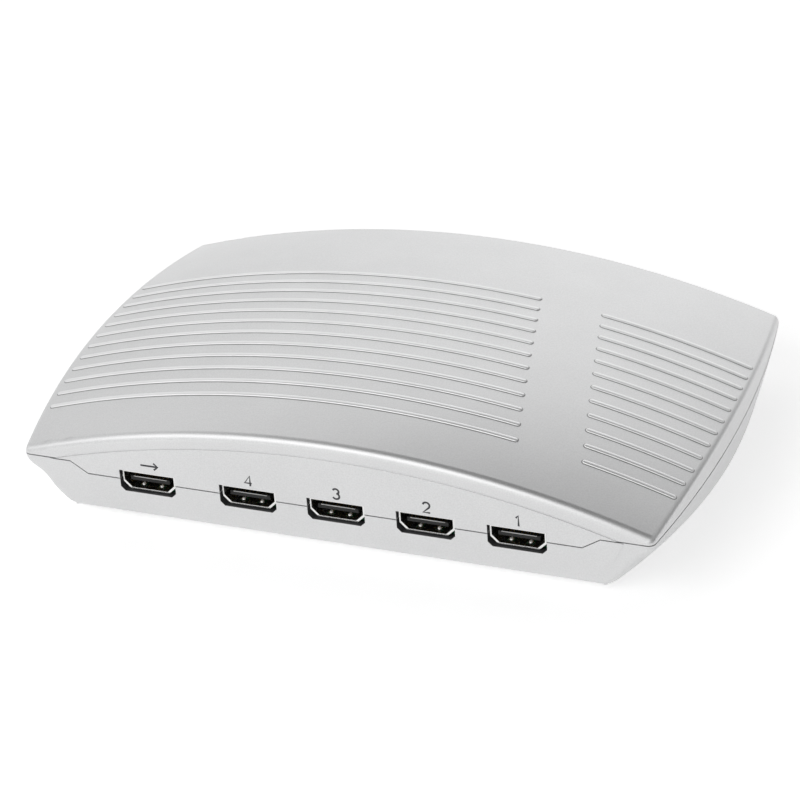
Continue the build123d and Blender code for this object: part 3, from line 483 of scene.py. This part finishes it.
# The X of each print's middle, and its strokes about that middle, upwards from its foot
prints = {
    "number_4": (-21.7, [[(0.55, 0.0), (0.55, 3.0), (-0.95, 0.85), (1.0, 0.85)]]),
    "number_3": (2.5, [
        bow((-0.1, 2.25), (0.8, 0.75), -1.15, math.pi * 0.93, 12),
        bow((-0.1, 0.85), (0.9, 0.85), 0.2, math.pi + 1.15, 14),
    ]),
    "number_2": (26.7, [
        bow((0.0, 2.1), (0.9, 0.9), 0.25 - math.pi / 2, math.pi / 2, 10)
        + [(0.75, 1.55), (-0.9, 0.0), (0.95, 0.0)],
    ]),
    "number_1": (50.9, [[(-0.55, 2.35), (0.1, 3.0), (0.1, 0.0)]]),
    "arrow": (-49.4, [[(-2.4, 1.5), (2.4, 1.5)], [(1.3, 2.5), (2.4, 1.5), (1.3, 0.5)]]),
}


def add_print(name, x, strokes):
    """Round strokes, pressed flat and stood on the panel of the sockets' face."""
    curve = bpy.data.curves.new(name, "CURVE")
    curve.dimensions = "3D"
    curve.bevel_depth = stroke_half_width * MM
    curve.bevel_resolution = stroke_roundness
    curve.use_fill_caps = True
    for stroke in strokes:
        spline = curve.splines.new("POLY")
        spline.points.add(len(stroke) - 1)
        for point, (along, up) in zip(spline.points, stroke):
            point.co = (along * MM, up * MM, 0.0, 1.0)
    holder = add(f"{name}_curve", curve)
    mesh = bpy.data.meshes.new_from_object(holder)
    bpy.data.objects.remove(holder)
    flattening = print_depth / (2 * stroke_half_width)
    mesh.transform(Matrix.Diagonal((1.0, 1.0, flattening, 1.0)))
    middle_y = -(half_depth + panel_proud - print_depth / 2)
    middle = (x * MM, middle_y * MM, print_foot_z * MM)
    mesh.transform(Matrix.Translation(middle) @ Matrix.Rotation(math.pi / 2, 4, "X"))
    mesh.materials.clear()
    mesh.materials.append(ink)
    piece = add(name, mesh)
    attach(piece, "case")


for sign, (x, strokes) in prints.items():
    add_print(f"print_{sign}", x, strokes)

# Sockets: a pale strip on each tongue's front edge as a painted highlight, and the two spring tips
# on the floor of each mouth, near white as a painted highlight
edge_middle_y, edge_top_z = -56.7, 12.725
edge_half, edge_height, edge_depth = 4.7, 0.26, 0.05
edge_foot_share = 0.98
edge_bevel, edge_bevel_steps = 0.015, 2
tip_offset, tip_y, tip_z = 2.55, -55.1, 9.675
tip_radius, tip_height, tip_stretch = 0.62, 0.5, 1.3
tip_segments, tip_rings = 16, 10

tongue_highlight_strips = bmesh.new()
spring_tips = bmesh.new()
for mouth_x in mouth_places:
    for vert in bmesh.ops.create_cube(tongue_highlight_strips, size=1.0)["verts"]:
        share = 1.0 if vert.co.z > 0 else edge_foot_share
        vert.co = (
            (mouth_x + vert.co.x * 2 * edge_half * share) * MM,
            (edge_middle_y + vert.co.y * edge_depth) * MM,
            (edge_top_z + (vert.co.z - 0.5) * edge_height) * MM,
        )
    for side in (-1, 1):
        tip = bmesh.ops.create_uvsphere(
            spring_tips, u_segments=tip_segments, v_segments=tip_rings, radius=1.0)
        for vert in tip["verts"]:
            vert.co = (
                (mouth_x + side * tip_offset + vert.co.x * tip_radius) * MM,
                (tip_y + vert.co.y * tip_radius * tip_stretch) * MM,
                (tip_z + vert.co.z * tip_height) * MM,
            )
bmesh.ops.bevel(
    tongue_highlight_strips, geom=tongue_highlight_strips.edges[:], offset=edge_bevel * MM, segments=edge_bevel_steps,
    affect="EDGES")
add_smooth("socket_tongue_highlight_strips", tongue_highlight_strips, tongue_painted_highlight)
add_smooth("socket_spring_tips", spring_tips, spring_painted_highlight)


# Floor, in metres: pale to the eye and in reflections, with the box's shadow on it
floor_half, floor_z = 4.0, -0.0001
floor_glow = 0.5
floor_mesh = bpy.data.meshes.new("floor")
corner_signs = ((-1, -1), (1, -1), (1, 1), (-1, 1))
corners = [(sx * floor_half, sy * floor_half, floor_z) for sx, sy in corner_signs]
floor_mesh.from_pydata(corners, [], [(0, 1, 2, 3)])
floor = add("floor", floor_mesh)
paper = bpy.data.materials.new("floor_paper")
paper.use_nodes = True
floor_mesh.materials.append(paper)
tree = paper.node_tree
shader = tree.nodes["Principled BSDF"]
shader.inputs["Base Color"].default_value = (0.86, 0.86, 0.86, 1)
shader.inputs["Roughness"].default_value = 0.9
shader.inputs["Emission Color"].default_value = (1, 1, 1, 1)
path = tree.nodes.new("ShaderNodeLightPath").outputs
seen = combine(tree, "MAXIMUM", path["Is Camera Ray"], path["Is Glossy Ray"])
seen = combine(tree, "MAXIMUM", seen, path["Is Transmission Ray"])
glow = map_range(tree, seen, 0.0, floor_glow)
tree.links.new(glow, shader.inputs["Emission Strength"])

# World: pale walls, brightest in the middle and darkest to the right, under a ceiling that is
# darkest straight above. The ceiling starts and ends at these heights of a direction.
wall_level, zenith_level = 1.2, 0.05
ceiling_start, ceiling_end = 0.68, 1.0
# Shares of the way from left to right, and how much of the wall's level is left there
wall_shares = ((0.0, 0.6), (0.2, 0.72), (0.38, 1.0), (0.5, 1.0), (0.65, 0.68), (1.0, 0.05))
world = bpy.data.worlds.new("studio")
bpy.context.scene.world = world
world.use_nodes = True
tree = world.node_tree
background = tree.nodes["Background"]
background.inputs["Color"].default_value = (1, 1, 1, 1)
way = tree.nodes.new("ShaderNodeTexCoord")
split = tree.nodes.new("ShaderNodeSeparateXYZ")
tree.links.new(way.outputs["Generated"], split.inputs["Vector"])
ceiling = map_range(
    tree, split.outputs["Z"], wall_level, zenith_level, ceiling_start, ceiling_end, "SMOOTHSTEP")
across = map_range(tree, split.outputs["X"], 0.0, 1.0, -1.0, 1.0)
wall_stops = [(place, (share, share, share)) for place, share in wall_shares]
walls = color_ramp(tree, across, wall_stops, "B_SPLINE")
tree.links.new(combine(tree, "MULTIPLY", ceiling, walls), background.inputs["Strength"])

# Lamp: one weak, wide lamp at the front left, in metres and watts
lamp_place, lamp_aim = Vector((-0.6, -1.0, 1.0)), Vector((0, 0, 0.02))
lamp_data = bpy.data.lights.new("key", "AREA")
lamp_data.shape = "RECTANGLE"
lamp_data.size, lamp_data.size_y = 1.4, 0.9
lamp_data.energy = 3.6
lamp = add("key", lamp_data)
lamp.location = lamp_place
lamp.rotation_euler = (lamp_aim - lamp_place).to_track_quat("-Z", "Y").to_euler()

# Camera, from a fit to about ninety points of the photograph
camera_data = bpy.data.cameras.new("camera")
camera_data.sensor_fit = "HORIZONTAL"
camera_data.sensor_width = 36.0
camera_data.lens = 150.443
camera_data.clip_start = 0.05
camera_data.clip_end = 20.0
camera = add("camera", camera_data)
camera.location = (0.297737, -0.707288, 0.463664)
camera.rotation_euler = [math.radians(angle) for angle in (59.40223, 3.74787, 20.82040)]
bpy.context.scene.camera = camera
bpy.context.scene.view_settings.view_transform = "Standard"
